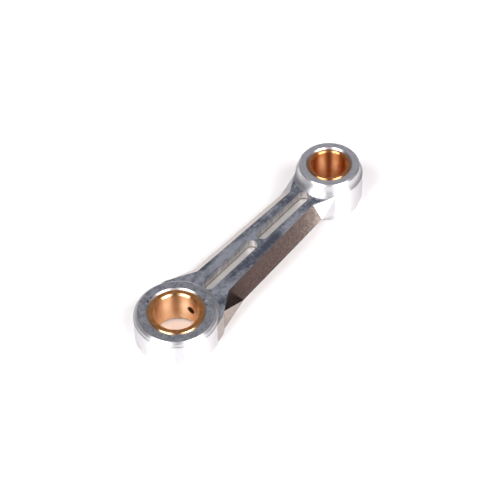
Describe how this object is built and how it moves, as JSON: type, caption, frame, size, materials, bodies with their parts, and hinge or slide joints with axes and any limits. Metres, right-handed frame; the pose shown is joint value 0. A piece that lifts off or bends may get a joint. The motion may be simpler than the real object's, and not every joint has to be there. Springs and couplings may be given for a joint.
{
  "type": "connecting rod",
  "caption": "Short engine connecting rod with a wide pin eye at each end, a plain bush pressed into each eye and slots milled along its bevelled shank.",
  "frame": {"origin": "centre of the crankpin bore, halfway through the rod", "axes": "+X along the rod to the small end, +Y across the rod, +Z along both bores"},
  "size_m": [0.0447, 0.0118, 0.0074],
  "materials": {
    "aluminium": "milled and turned, bright, lightly polished",
    "bronze": "bored and reamed bearing bronze"
  },
  "bodies": {
    "root": {"rod_body": "aluminium", "crankpin_bush": "bronze", "gudgeon_pin_bush": "bronze"}
  },
  "joints": []
}
